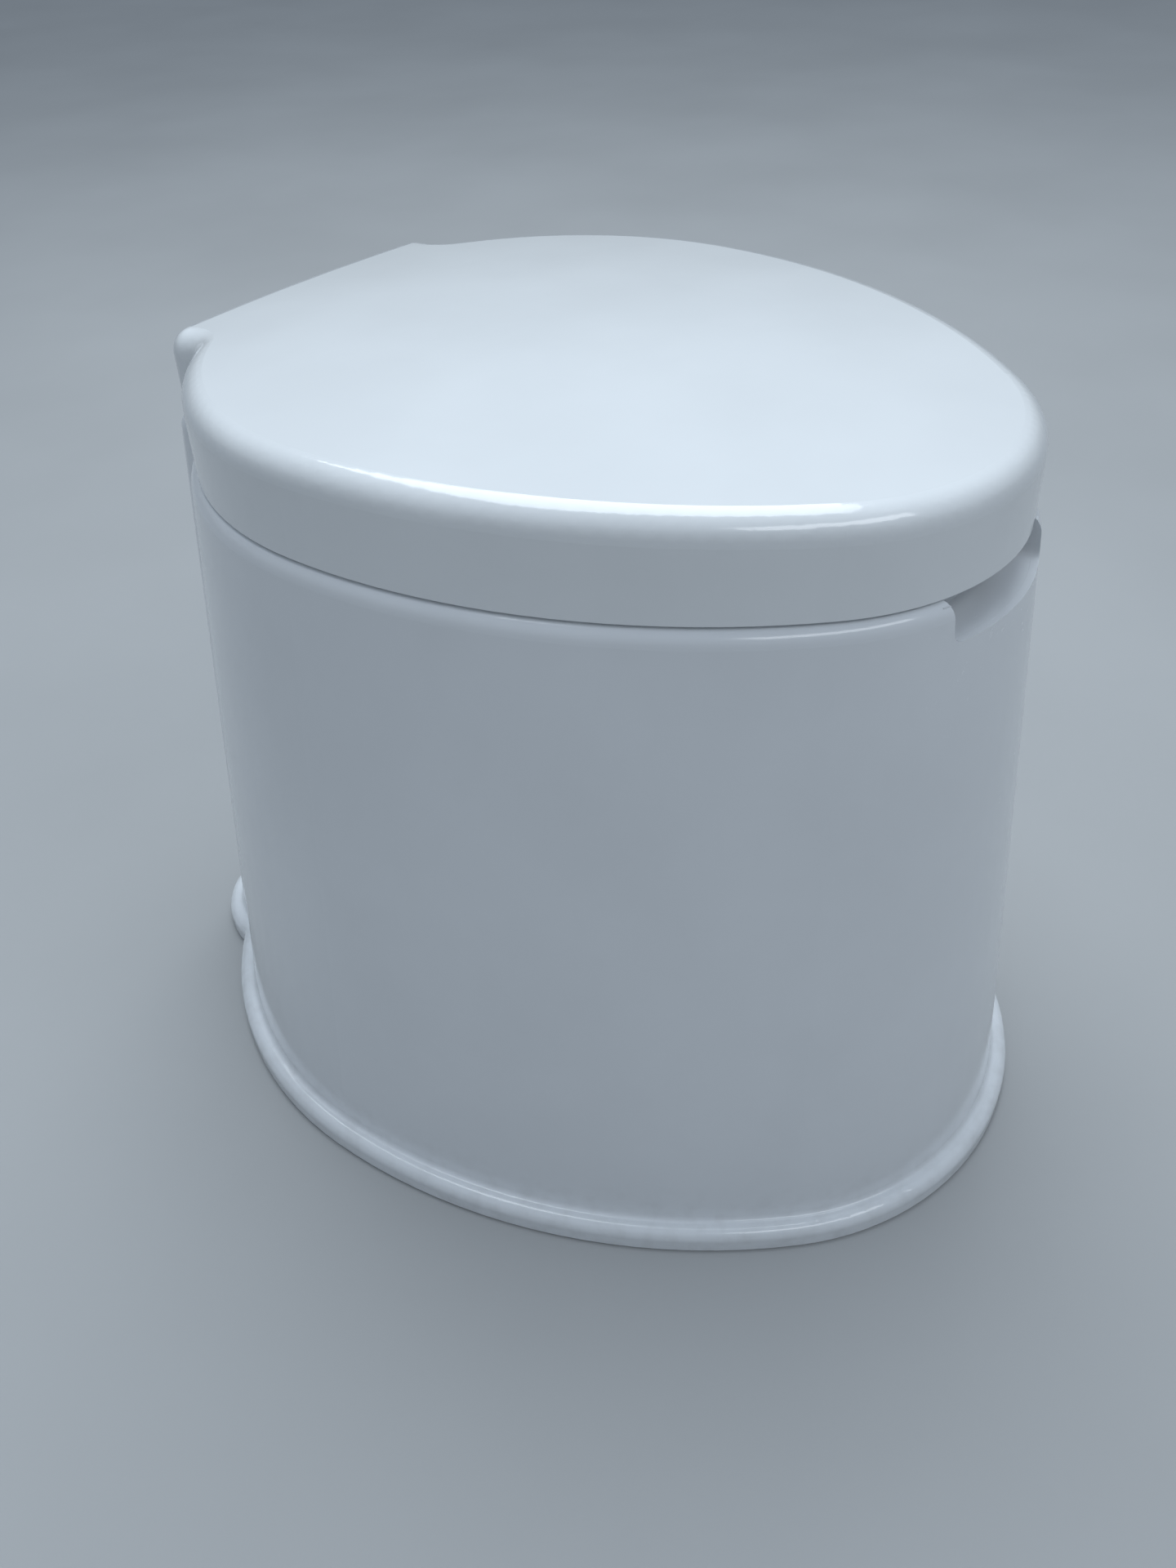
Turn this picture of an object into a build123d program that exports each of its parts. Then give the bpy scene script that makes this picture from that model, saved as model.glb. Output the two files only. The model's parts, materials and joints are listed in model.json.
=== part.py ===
"""Portable camp toilet: drafted outer shell, lift-out bucket, hinged seat ring and hinged lid.

Frame: millimetres, +Z up, origin on the floor under the centre of the plan.
-Y is the front (finger notch), +Y is the rear (hinge), the object is symmetric about X = 0.
"""
from build123d import *
import os
from math import atan, cos, degrees, radians, sin, sqrt

os.makedirs("parts", exist_ok=True)

# ---------------------------------------------------------------- driving dimensions
# Plan outline at the rim: an egg of three tangent arcs plus a hinge block at the rear.
HALF_LENGTH = 182.0      # front tip and straight rear edge, from the centre of the plan
HALF_WIDTH = 148.0       # widest half width; the rear of the egg is a circle of this radius
WIDEST_Y = 34.0          # where the egg is widest, and the centre of its rear circle
SIDE_RADIUS = 266.0      # long arc of each flank
EAR_HALF_WIDTH = 83.0    # half width of the rear hinge block
EAR_CORNER = 14.0        # plan radius of the block's rear corners
SHELL_NECK = 33.0        # hollow between block and egg, at the shell's rim
LID_NECK = 11.0          # the same hollow on the lid

# Heights
HEIGHT = 350.0           # floor to the crown of the lid
RIM_Z = 305.5            # top of the outer shell
LID_GAP = 1.0            # shadow gap between shell and lid
PAD_PROUD = 1.2          # rubber pads stand this far below the shell

# Outer shell
WALL = 3.0
DRAFT = 0.095            # outward slope of the wall towards the floor
RIM_ROUND = 7.0
FOOT_WIDTH = 7.5         # foot flange, outward from the wall
FOOT_HEIGHT = 11.0
FOOT_ROUND = 5.0
FOOT_BLEND = 2.4         # hollow between flange and wall
NOTCH_HALF_WIDTH = 37.0  # finger notch in the front rim
NOTCH_DEPTH = 16.0
NOTCH_ROUND = 4.0

# Bucket
BUCKET_Y = -9.5          # axis of the round bucket
BUCKET_RADIUS = 116.0    # outer radius under the flange
BUCKET_FOOT_RADIUS = 98.0
BUCKET_WALL = 2.4
BUCKET_FLOOR_Z = 16.0
FLANGE_RADIUS = 127.0
FLANGE_THICK = 2.5
RECESS_RADIUS = 128.5    # sunken ledge of the deck that carries the flange
RECESS_DEPTH = 5.0

# Seat and lid
SEAT_LOW_Z = RIM_Z + 4.0
SEAT_TOP_Z = RIM_Z + 23.5
SEAT_INSET = 9.0         # seat edge inside the rim outline
SEAT_WALL = 3.0
HOLE_Y = -14.0
HOLE_HALF_WIDTH = 96.0
HOLE_HALF_LENGTH = 111.0
LID_WALL = 3.0
LID_INSET = 3.0          # the shell's rim stands this far out past the foot of the lid's wall
LID_DRAFT = 0.01
LID_ROUND = 10.5
CROWN = 8.0              # rise of the lid's top from its edge to the middle
LID_CUT_HALF_WIDTH = 73.0
LID_CUT_DEPTH = 11.0     # the cut in the rear skirt reaches this far in from the rim's outline

# Hinge
HINGE_Y = HALF_LENGTH - 7.0
HINGE_Z = RIM_Z + 22.5
PIN_RADIUS = 4.0
PIN_CLEARANCE = 0.05
KNUCKLE_RADIUS = 7.0
SEAT_LUG_X = (26.0, 38.0)
BRACKET_LUG_X = (44.5, 56.5)
LID_LUG_X = (59.0, 70.0)

SIDES = {"left": -1, "right": 1}

# ---------------------------------------------------------------- derived values
SHELL_LOW_Z = PAD_PROUD
SHELL_HEIGHT = RIM_Z - SHELL_LOW_Z
FLARE = DRAFT * SHELL_HEIGHT                       # growth of the outline from rim to floor
DRAFT_ANGLE = degrees(atan(DRAFT))
LID_LOW_Z = RIM_Z + LID_GAP
REACH = SIDE_RADIUS - HALF_WIDTH                   # the flank arcs are centred at x = -+REACH
RISE = WIDEST_Y + HALF_LENGTH
FRONT_RADIUS = (SIDE_RADIUS**2 - REACH**2 - RISE**2) / (2 * (SIDE_RADIUS - RISE))
FRONT_Y = FRONT_RADIUS - HALF_LENGTH               # centre of the front arc
CROWN_RADIUS = (HALF_LENGTH**2 + CROWN**2) / (2 * CROWN)
SEAT_REAR_Y = HINGE_Y - 43.5
LID_REAR_LIP_Z = HINGE_Z + 8.0                      # the rear skirt is cut up to here between the ears


# ---------------------------------------------------------------- shared outlines
def toward(centre, target, radius):
    """Point on a circle, on the ray from its centre to the target."""
    return centre + (target - centre).normalized() * radius


def arc(centre, radius, start, end):
    """Arc through two points of a circle, by the short way round."""
    middle = toward(centre, (start + end) * 0.5, radius)
    ThreePointArc(start, middle, end)


def plan(grow, neck):
    """Plan outline at the rim, grown outward by `grow`; `neck` is the hollow's radius at the rim."""
    front = Vector(0, FRONT_Y)
    flank = Vector(-REACH, WIDEST_Y)
    egg = Vector(0, WIDEST_Y)
    ear = Vector(EAR_HALF_WIDTH - EAR_CORNER, HALF_LENGTH - EAR_CORNER)
    span = (ear - egg).length
    along = ((HALF_WIDTH + neck) ** 2 - (EAR_CORNER + neck) ** 2 + span**2) / (2 * span)
    across = sqrt((HALF_WIDTH + neck) ** 2 - along**2)
    heading = (ear - egg).normalized()
    hollow = egg + heading * along + Vector(heading.Y, -heading.X) * across

    tip = Vector(0, -HALF_LENGTH - grow)
    shoulder = toward(flank, front, SIDE_RADIUS + grow)
    widest = Vector(HALF_WIDTH + grow, WIDEST_Y)
    neck_start = toward(egg, hollow, HALF_WIDTH + grow)
    neck_end = toward(ear, hollow, EAR_CORNER + grow)
    corner = Vector(ear.X, HALF_LENGTH + grow)
    with BuildSketch(mode=Mode.PRIVATE) as outline:
        with BuildLine():
            arc(front, FRONT_RADIUS + grow, tip, shoulder)
            arc(flank, SIDE_RADIUS + grow, shoulder, widest)
            arc(egg, HALF_WIDTH + grow, widest, neck_start)
            arc(hollow, neck - grow, neck_start, neck_end)
            arc(ear, EAR_CORNER + grow, neck_end, corner)
            Line(corner, (0, HALF_LENGTH + grow))
            mirror(about=Plane.YZ)
        make_face()
    return outline.sketch


def drafted(grow, low, high, edge_round):
    """Tapered prism of the shell's outline grown by `grow`, wider at the floor, its top edge rounded."""
    with BuildPart(mode=Mode.PRIVATE) as prism:
        with BuildSketch(Plane.XY.offset(high)):
            add(plan(grow + DRAFT * (RIM_Z - high), SHELL_NECK))
        extrude(amount=low - high, taper=-DRAFT_ANGLE)
        fillet(prism.edges().group_by(Axis.Z)[-1], edge_round)
    return prism.part


def finish(part, name):
    """Label a finished piece and write it to its own file."""
    part.label = name
    export_step(part, f"parts/{name}.step")


def knuckle(x_range, arm_points):
    """Hinge lug: a round eye on the hinge axis joined to a side-view polygon, between two x values."""
    low, high = x_range
    with BuildPart(mode=Mode.PRIVATE) as lug:
        with BuildSketch(Plane.YZ.offset(low)):
            with BuildLine():
                Polyline(*arm_points, close=True)
            make_face()
            with Locations((HINGE_Y, HINGE_Z)):
                Circle(KNUCKLE_RADIUS)
                Circle(PIN_RADIUS + PIN_CLEARANCE, mode=Mode.SUBTRACT)
        extrude(amount=high - low)
    return lug.part


def mirrored_range(x_range, side):
    return tuple(sorted((side * x_range[0], side * x_range[1])))


# ---------------------------------------------------------------- outer shell
FOOT_NECK = FLARE + FOOT_WIDTH + 4.0     # leaves a 4 mm hollow in the flange's edge
POCKET_INSET = 18.0
DECK_HOLE_RADIUS = 117.5
SCREW_RADIUS = 2.5
SCREW_HOLE_RADIUS = 2.6
SCREW_Y = HINGE_Y - 34.5
SCREW_X = (44.5, 56.5)
screw_spots = [(side * x, SCREW_Y) for side in SIDES.values() for x in SCREW_X]

PAD_WIDTH = 6.0
PAD_LENGTH = 30.0
PAD_HEIGHT = 2.7
PAD_INSET = 5.25         # pad centre line, in from the edge of the foot flange
PAD_FRONT_ANGLE = 38.0
PAD_SIDE_ANGLE = 12.0
PAD_REAR_X = 55.0
pad_line = FLARE + FOOT_WIDTH - PAD_INSET


def around(centre_y, radius, angle):
    """Point and heading of a bar laid tangent to an arc centred on X = 0; angle 0 points along +X."""
    turn = radians(angle)
    return Location((radius * cos(turn), centre_y + radius * sin(turn)), angle + 90)


pad_places = {
    "foot_pad_front_left": around(FRONT_Y, FRONT_RADIUS + pad_line, -90 - PAD_FRONT_ANGLE),
    "foot_pad_front_right": around(FRONT_Y, FRONT_RADIUS + pad_line, -90 + PAD_FRONT_ANGLE),
    "foot_pad_side_left": around(WIDEST_Y, HALF_WIDTH + pad_line, 180 - PAD_SIDE_ANGLE),
    "foot_pad_side_right": around(WIDEST_Y, HALF_WIDTH + pad_line, PAD_SIDE_ANGLE),
    "foot_pad_rear_left": Location((-PAD_REAR_X, HALF_LENGTH + pad_line), 0),
    "foot_pad_rear_right": Location((PAD_REAR_X, HALF_LENGTH + pad_line), 0),
}

NOTCH_Z = RIM_Z - NOTCH_DEPTH
LEDGE_Z = RIM_Z - RECESS_DEPTH
DECK_LOW_Z = RIM_Z - WALL
FOOT_TOP_Z = SHELL_LOW_Z + FOOT_HEIGHT
PAD_SOCKET = PAD_HEIGHT - PAD_PROUD


def level(shapes, z):
    """The faces or edges lying at one height."""
    return shapes.filter_by_position(Axis.Z, z - 0.05, z + 0.05)


with BuildPart(mode=Mode.PRIVATE) as foot_slab:
    with BuildSketch(Plane.XY.offset(SHELL_LOW_Z)):
        add(plan(FLARE + FOOT_WIDTH, FOOT_NECK))
    extrude(amount=FOOT_HEIGHT)
    fillet(foot_slab.edges().group_by(Axis.Z)[-1], FOOT_ROUND)

# The notch is a straight cut through the front wall. Behind it a shallow pocket follows the
# curve of the rim: its back wall is concentric with the front arc.
with BuildPart(mode=Mode.PRIVATE) as finger_notch:
    with BuildSketch(Plane.XZ.offset(-FRONT_Y)):
        with Locations((0, NOTCH_Z + NOTCH_DEPTH)):
            RectangleRounded(2 * NOTCH_HALF_WIDTH, 2 * NOTCH_DEPTH, NOTCH_ROUND)
    extrude(amount=HALF_LENGTH)
    with BuildSketch(Plane.XY.offset(NOTCH_Z - WALL)):
        with Locations((0, FRONT_Y)):
            Circle(FRONT_RADIUS - POCKET_INSET)
    extrude(amount=3 * NOTCH_DEPTH, mode=Mode.SUBTRACT)

with BuildPart(mode=Mode.PRIVATE) as pocket_liner:
    with BuildSketch(Plane.XY.offset(NOTCH_Z - WALL)):
        with Locations((0, FRONT_Y)):
            Circle(FRONT_RADIUS - WALL / 2)
            Circle(FRONT_RADIUS - POCKET_INSET - WALL, mode=Mode.SUBTRACT)
        with Locations((0, FRONT_Y - FRONT_RADIUS / 2)):
            Rectangle(2 * (NOTCH_HALF_WIDTH + WALL), FRONT_RADIUS, mode=Mode.INTERSECT)
    extrude(amount=NOTCH_DEPTH + WALL / 2)

with BuildPart() as body_shell:
    add(drafted(0, SHELL_LOW_Z, RIM_Z, RIM_ROUND))
    add(foot_slab.part)
    foot_top = level(body_shell.faces().filter_by(Axis.Z), FOOT_TOP_Z)[0]
    fillet(foot_top.inner_wires()[0].edges(), FOOT_BLEND)
    add(drafted(-WALL, SHELL_LOW_Z, DECK_LOW_Z, RIM_ROUND - WALL), mode=Mode.SUBTRACT)
    add(pocket_liner.part)
    with BuildSketch(Plane.XY.offset(LEDGE_Z - WALL)):
        with Locations((0, BUCKET_Y)):
            Circle(RECESS_RADIUS + WALL)
    extrude(amount=RECESS_DEPTH)
    with BuildSketch(Plane.XY.offset(LEDGE_Z)):
        with Locations((0, BUCKET_Y)):
            Circle(RECESS_RADIUS)
    extrude(amount=2 * RECESS_DEPTH, mode=Mode.SUBTRACT)
    with BuildSketch(Plane.XY.offset(LEDGE_Z - 2 * WALL)):
        with Locations((0, BUCKET_Y)):
            Circle(DECK_HOLE_RADIUS)
    extrude(amount=4 * WALL, mode=Mode.SUBTRACT)
    add(finger_notch.part, mode=Mode.SUBTRACT)
    with BuildSketch(Plane.XY.offset(RIM_Z)):
        with Locations(*screw_spots):
            Circle(SCREW_HOLE_RADIUS)
    extrude(amount=-2 * WALL, mode=Mode.SUBTRACT)
    with BuildSketch(Plane.XY.offset(SHELL_LOW_Z)):
        with Locations(*pad_places.values()):
            SlotOverall(PAD_LENGTH, PAD_WIDTH)
    extrude(amount=PAD_SOCKET, mode=Mode.SUBTRACT)
finish(body_shell.part, "body_shell")

for name, place in pad_places.items():
    with BuildPart() as foot_pad:
        with BuildSketch():
            with Locations(place):
                SlotOverall(PAD_LENGTH, PAD_WIDTH)
        extrude(amount=PAD_HEIGHT)
    finish(foot_pad.part, name)

# ---------------------------------------------------------------- bucket
BUCKET_FLOOR_THICK = 3.0
BUCKET_ROUND = 10.0
FLANGE_Z = LEDGE_Z                       # underside of the bucket's flange
FLANGE_TOP_Z = FLANGE_Z + FLANGE_THICK
BAIL_Z = RIM_Z + 2.5
BAIL_RADIUS = 124.5                      # centre line of the carrying handle, lying flat
BAIL_WIRE = 2.0
BAIL_EAR_X = (119.0, 122.0)
BAIL_EAR_RADIUS = 4.0
GRIP_RADIUS = 4.5
GRIP_HALF_ANGLE = 18.0
bucket_axis = Plane((0, BUCKET_Y, 0), x_dir=(1, 0, 0), z_dir=(0, -1, 0))

with BuildPart() as inner_bucket:
    with BuildSketch(bucket_axis):
        with BuildLine():
            Polyline(
                (0, BUCKET_FLOOR_Z),
                (BUCKET_FOOT_RADIUS, BUCKET_FLOOR_Z),
                (BUCKET_RADIUS, FLANGE_Z),
                (FLANGE_RADIUS, FLANGE_Z),
                (FLANGE_RADIUS, FLANGE_TOP_Z),
                (BUCKET_RADIUS - BUCKET_WALL, FLANGE_TOP_Z),
                (BUCKET_FOOT_RADIUS - BUCKET_WALL, BUCKET_FLOOR_Z + BUCKET_FLOOR_THICK),
                (0, BUCKET_FLOOR_Z + BUCKET_FLOOR_THICK),
                close=True,
            )
        make_face()
    revolve(axis=Axis((0, BUCKET_Y, 0), (0, 0, 1)))
    fillet(level(inner_bucket.edges().filter_by(GeomType.CIRCLE), BUCKET_FLOOR_Z), BUCKET_ROUND)
    fillet(
        level(inner_bucket.edges().filter_by(GeomType.CIRCLE), BUCKET_FLOOR_Z + BUCKET_FLOOR_THICK),
        BUCKET_ROUND - BUCKET_WALL,
    )
    for side in SIDES.values():
        low, high = mirrored_range(BAIL_EAR_X, side)
        with BuildSketch(Plane.YZ.offset(low)):
            with Locations((BUCKET_Y, (FLANGE_TOP_Z + BAIL_Z) / 2)):
                Rectangle(2 * BAIL_EAR_RADIUS, BAIL_Z - FLANGE_TOP_Z)
            with Locations((BUCKET_Y, BAIL_Z)):
                Circle(BAIL_EAR_RADIUS)
                Circle(BAIL_WIRE + PIN_CLEARANCE, mode=Mode.SUBTRACT)
        extrude(amount=high - low)
finish(inner_bucket.part, "inner_bucket")


def bail_point(angle, radius=BAIL_RADIUS):
    turn = radians(angle)
    return Vector(radius * cos(turn), BUCKET_Y + radius * sin(turn), BAIL_Z)


def bail_tube(from_angle, to_angle, outer):
    """Round bar bent along the bail's arc between two plan angles."""
    start = bail_point(from_angle)
    with BuildPart(mode=Mode.PRIVATE) as tube:
        with BuildLine() as path:
            ThreePointArc(start, bail_point((from_angle + to_angle) / 2), bail_point(to_angle))
        with BuildSketch(Plane(start, z_dir=path.line % 0)):
            Circle(outer)
        sweep(path=path.line)
    return tube.part


bail_pin_tip = BAIL_EAR_X[0] - 1.0
with BuildPart() as bail_handle:
    add(bail_tube(-180, 0, BAIL_WIRE))
    for side in SIDES.values():
        low, high = mirrored_range((bail_pin_tip, BAIL_RADIUS), side)
        with BuildSketch(Plane.YZ.offset(low)):
            with Locations((BUCKET_Y, BAIL_Z)):
                Circle(BAIL_WIRE)
        extrude(amount=high - low)
        with Locations((side * BAIL_RADIUS, BUCKET_Y, BAIL_Z)):
            Sphere(BAIL_WIRE)
finish(bail_handle.part, "bail_handle")

with BuildPart() as bail_grip:
    add(bail_tube(-90 - GRIP_HALF_ANGLE, -90 + GRIP_HALF_ANGLE, GRIP_RADIUS))
    add(
        bail_tube(-90 - 2 * GRIP_HALF_ANGLE, -90 + 2 * GRIP_HALF_ANGLE, BAIL_WIRE + PIN_CLEARANCE),
        mode=Mode.SUBTRACT,
    )
finish(bail_grip.part, "bail_grip")

# ---------------------------------------------------------------- bucket cover
COVER_RADIUS = 117.0
COVER_TOP_Z = RIM_Z
COVER_WALL = 2.5
PLUG_RADIUS = 110.7
DISH_Z = RIM_Z - 13.5                    # floor of the dish, the finger room under the handle
DISH_ROUND = 6.0
COVER_EDGE_ROUND = 1.0
SEAL_RADIUS = 113.0
SEAL_LOW_Z = RIM_Z - 11.5
SEAL_HEIGHT = 4.0
LIFT_Z = RIM_Z - 3.5                     # pivot of the fold-down lifting handle
LIFT_RADIUS = 3.0
LIFT_PIN_RADIUS = 2.5
LIFT_HALF_WIDTH = 27.0
LIFT_LENGTH = 34.0
LIFT_BEND = 9.0
LIFT_POST_X = (31.0, 36.0)
LIFT_POST_RADIUS = 4.5
REST_HALF = 3.0
REST_X = 14.0
REST_GAP = 0.1

with BuildPart() as bucket_cover:
    with BuildSketch(bucket_axis):
        with BuildLine():
            Polyline(
                (0, DISH_Z - COVER_WALL),
                (PLUG_RADIUS, DISH_Z - COVER_WALL),
                (PLUG_RADIUS, COVER_TOP_Z - COVER_WALL),
                (COVER_RADIUS, COVER_TOP_Z - COVER_WALL),
                (COVER_RADIUS, COVER_TOP_Z),
                (PLUG_RADIUS - COVER_WALL, COVER_TOP_Z),
                (PLUG_RADIUS - COVER_WALL, DISH_Z),
                (0, DISH_Z),
                close=True,
            )
        make_face()
    revolve(axis=Axis((0, BUCKET_Y, 0), (0, 0, 1)))
    fillet(level(bucket_cover.edges().filter_by(GeomType.CIRCLE), DISH_Z), DISH_ROUND)
    fillet(level(bucket_cover.edges().filter_by(GeomType.CIRCLE), COVER_TOP_Z), COVER_EDGE_ROUND)
    for side in SIDES.values():
        low, high = mirrored_range(LIFT_POST_X, side)
        with BuildSketch(Plane.YZ.offset(low)):
            with Locations((BUCKET_Y, (DISH_Z + LIFT_Z) / 2)):
                Rectangle(2 * LIFT_POST_RADIUS, LIFT_Z - DISH_Z)
            with Locations((BUCKET_Y, LIFT_Z)):
                Circle(LIFT_POST_RADIUS)
                Circle(LIFT_PIN_RADIUS + PIN_CLEARANCE, mode=Mode.SUBTRACT)
        extrude(amount=high - low)
    with BuildSketch(Plane.XY.offset(DISH_Z)):
        with Locations(*[(side * REST_X, BUCKET_Y - LIFT_LENGTH) for side in SIDES.values()]):
            Rectangle(2 * REST_HALF, 2 * REST_HALF)
    extrude(amount=LIFT_Z - LIFT_RADIUS - REST_GAP - DISH_Z)
finish(bucket_cover.part, "bucket_cover")

with BuildPart() as cover_seal:
    with BuildSketch(Plane.XY.offset(SEAL_LOW_Z)):
        with Locations((0, BUCKET_Y)):
            Circle(SEAL_RADIUS)
            Circle(PLUG_RADIUS, mode=Mode.SUBTRACT)
    extrude(amount=SEAL_HEIGHT)
finish(cover_seal.part, "cover_seal")

with BuildPart() as cover_handle:
    with BuildLine() as lift_path:
        FilletPolyline(
            (-LIFT_HALF_WIDTH, BUCKET_Y, LIFT_Z),
            (-LIFT_HALF_WIDTH, BUCKET_Y - LIFT_LENGTH, LIFT_Z),
            (LIFT_HALF_WIDTH, BUCKET_Y - LIFT_LENGTH, LIFT_Z),
            (LIFT_HALF_WIDTH, BUCKET_Y, LIFT_Z),
            radius=LIFT_BEND,
        )
    with BuildSketch(Plane(lift_path.line @ 0, z_dir=lift_path.line % 0)):
        Circle(LIFT_RADIUS)
    sweep(path=lift_path.line)
    for side in SIDES.values():
        low, high = mirrored_range((LIFT_HALF_WIDTH, LIFT_POST_X[1]), side)
        with BuildSketch(Plane.YZ.offset(low)):
            with Locations((BUCKET_Y, LIFT_Z)):
                Circle(LIFT_PIN_RADIUS)
        extrude(amount=high - low)
        with Locations((side * LIFT_HALF_WIDTH, BUCKET_Y, LIFT_Z)):
            Sphere(LIFT_RADIUS)
finish(cover_handle.part, "cover_handle")

# ---------------------------------------------------------------- seat ring
SEAT_ROUND = 8.0
SEAT_CORNER = 14.0
SEAT_ROOF = 5.0          # thickness above the channel in the underside
BUMPER_RADIUS = 4.5
BUMPER_STEM_RADIUS = 3.0
BUMPER_STEM = 5.0
BUMPER_FIT = 0.05
BOSS_RADIUS = 5.5
SEAT_ARM_FRONT_Y = SEAT_REAR_Y - 8.0
SEAT_ARM_LOW_Z = SEAT_LOW_Z + 4.0
seat_bumper_places = {
    "seat_bumper_front_left": (-76.3, -120.2),
    "seat_bumper_front_right": (76.3, -120.2),
    "seat_bumper_rear_left": (-131.5, 30.0),
    "seat_bumper_rear_right": (131.5, 30.0),
}
seat_arm = [
    (SEAT_ARM_FRONT_Y, SEAT_ARM_LOW_Z),
    (SEAT_REAR_Y, SEAT_ARM_LOW_Z),
    (HINGE_Y + 2.0, HINGE_Z - KNUCKLE_RADIUS + 0.3),
    (HINGE_Y, HINGE_Z + KNUCKLE_RADIUS),
    (SEAT_ARM_FRONT_Y, SEAT_TOP_Z - 1.5),
]


def seat_outline(inset):
    """Seat ring in plan, both its edges moved into the ring by `inset`."""
    with BuildSketch(mode=Mode.PRIVATE) as ring:
        add(plan(-SEAT_INSET, SHELL_NECK))
        with Locations((0, SEAT_REAR_Y - HALF_LENGTH)):
            Rectangle(4 * HALF_WIDTH, 2 * HALF_LENGTH, mode=Mode.INTERSECT)
        fillet(ring.vertices().group_by(Axis.Y)[-1], SEAT_CORNER)
        if inset:
            offset(amount=-inset)
        with Locations((0, HOLE_Y)):
            Ellipse(HOLE_HALF_WIDTH + inset, HOLE_HALF_LENGTH + inset, mode=Mode.SUBTRACT)
    return ring.sketch


with BuildPart() as seat_ring:
    with BuildSketch(Plane.XY.offset(SEAT_LOW_Z)):
        add(seat_outline(0))
    extrude(amount=SEAT_TOP_Z - SEAT_LOW_Z)
    fillet(seat_ring.edges().group_by(Axis.Z)[-1], SEAT_ROUND)
    with BuildSketch(Plane.XY.offset(SEAT_LOW_Z)):
        add(seat_outline(SEAT_WALL))
    extrude(amount=SEAT_TOP_Z - SEAT_LOW_Z - SEAT_ROOF, mode=Mode.SUBTRACT)
    with BuildSketch(Plane.XY.offset(SEAT_LOW_Z)):
        with Locations(*seat_bumper_places.values()):
            Circle(BOSS_RADIUS)
    extrude(amount=SEAT_TOP_Z - SEAT_LOW_Z - SEAT_ROOF)
    with BuildSketch(Plane.XY.offset(SEAT_LOW_Z)):
        with Locations(*seat_bumper_places.values()):
            Circle(BUMPER_STEM_RADIUS + BUMPER_FIT)
    extrude(amount=BUMPER_STEM, mode=Mode.SUBTRACT)
    for side in SIDES.values():
        add(knuckle(mirrored_range(SEAT_LUG_X, side), seat_arm))
finish(seat_ring.part, "seat_ring")

for name, place in seat_bumper_places.items():
    with BuildPart() as bumper:
        with BuildSketch(Plane.XY.offset(RIM_Z)):
            with Locations(place):
                Circle(BUMPER_RADIUS)
        extrude(amount=SEAT_LOW_Z - RIM_Z)
        with BuildSketch(Plane.XY.offset(SEAT_LOW_Z)):
            with Locations(place):
                Circle(BUMPER_STEM_RADIUS)
        extrude(amount=BUMPER_STEM - BUMPER_FIT)
    finish(bumper.part, name)

# ---------------------------------------------------------------- lid
LID_SKIN = 3.5
LID_INNER_ROUND = 7.0
LID_BOSS_LOW_Z = SEAT_TOP_Z + 5.5
LID_BOSS_TOP_Z = HEIGHT - 6.0
LID_BOSS_RADIUS = 8.0
LID_DRAFT_ANGLE = degrees(atan(LID_DRAFT))
LID_TOP_CLEAR = 8.0
BUMPER_GAP = 0.2
lid_bumper_places = {
    "lid_bumper_front_left": (-46.0, -133.0),
    "lid_bumper_front_right": (46.0, -133.0),
    "lid_bumper_rear_left": (-117.0, -10.0),
    "lid_bumper_rear_right": (117.0, -10.0),
}
lid_arm = [
    (HINGE_Y - KNUCKLE_RADIUS, HINGE_Z),
    (HINGE_Y + KNUCKLE_RADIUS - 1.0, HINGE_Z),
    (HINGE_Y + 2.5, HINGE_Z + 8.5),
    (HINGE_Y - 1.0, HINGE_Z + 11.0),
    (HINGE_Y - 12.0, HINGE_Z + 11.0),
]


def crowned(grow, low, crown_drop, edge_round):
    """Lid-shaped solid: drafted walls under a shallow spherical crown, with a rounded edge."""
    crown_top = HEIGHT - crown_drop
    with BuildPart(mode=Mode.PRIVATE) as dome:
        with BuildSketch(Plane.XY.offset(low)):
            add(plan(grow, LID_NECK))
        extrude(amount=crown_top + LID_TOP_CLEAR - low, taper=LID_DRAFT_ANGLE)
        with Locations((0, 0, crown_top - CROWN_RADIUS)):
            Sphere(CROWN_RADIUS, rotation=(90, 0, 0), mode=Mode.INTERSECT)
        fillet(dome.faces().sort_by(Axis.Z)[-1].outer_wire().edges(), edge_round)
    return dome.part


with BuildPart() as lid:
    add(crowned(-LID_INSET, LID_LOW_Z, 0, LID_ROUND))
    add(
        crowned(-LID_INSET - LID_WALL, LID_LOW_Z, LID_SKIN, LID_INNER_ROUND),
        mode=Mode.SUBTRACT,
    )
    with BuildSketch(Plane.XY.offset(LID_LOW_Z)):
        with Locations((0, HALF_LENGTH)):
            Rectangle(2 * LID_CUT_HALF_WIDTH, 2 * LID_CUT_DEPTH)
    extrude(amount=LID_REAR_LIP_Z - LID_LOW_Z, mode=Mode.SUBTRACT)
    with BuildSketch(Plane.XY.offset(LID_BOSS_LOW_Z)):
        with Locations(*lid_bumper_places.values()):
            Circle(LID_BOSS_RADIUS)
    extrude(amount=LID_BOSS_TOP_Z - LID_BOSS_LOW_Z)
    with BuildSketch(Plane.XY.offset(LID_BOSS_LOW_Z)):
        with Locations(*lid_bumper_places.values()):
            Circle(BUMPER_STEM_RADIUS + BUMPER_FIT)
    extrude(amount=BUMPER_STEM, mode=Mode.SUBTRACT)
    for side in SIDES.values():
        add(knuckle(mirrored_range(LID_LUG_X, side), lid_arm))
finish(lid.part, "lid")

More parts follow.
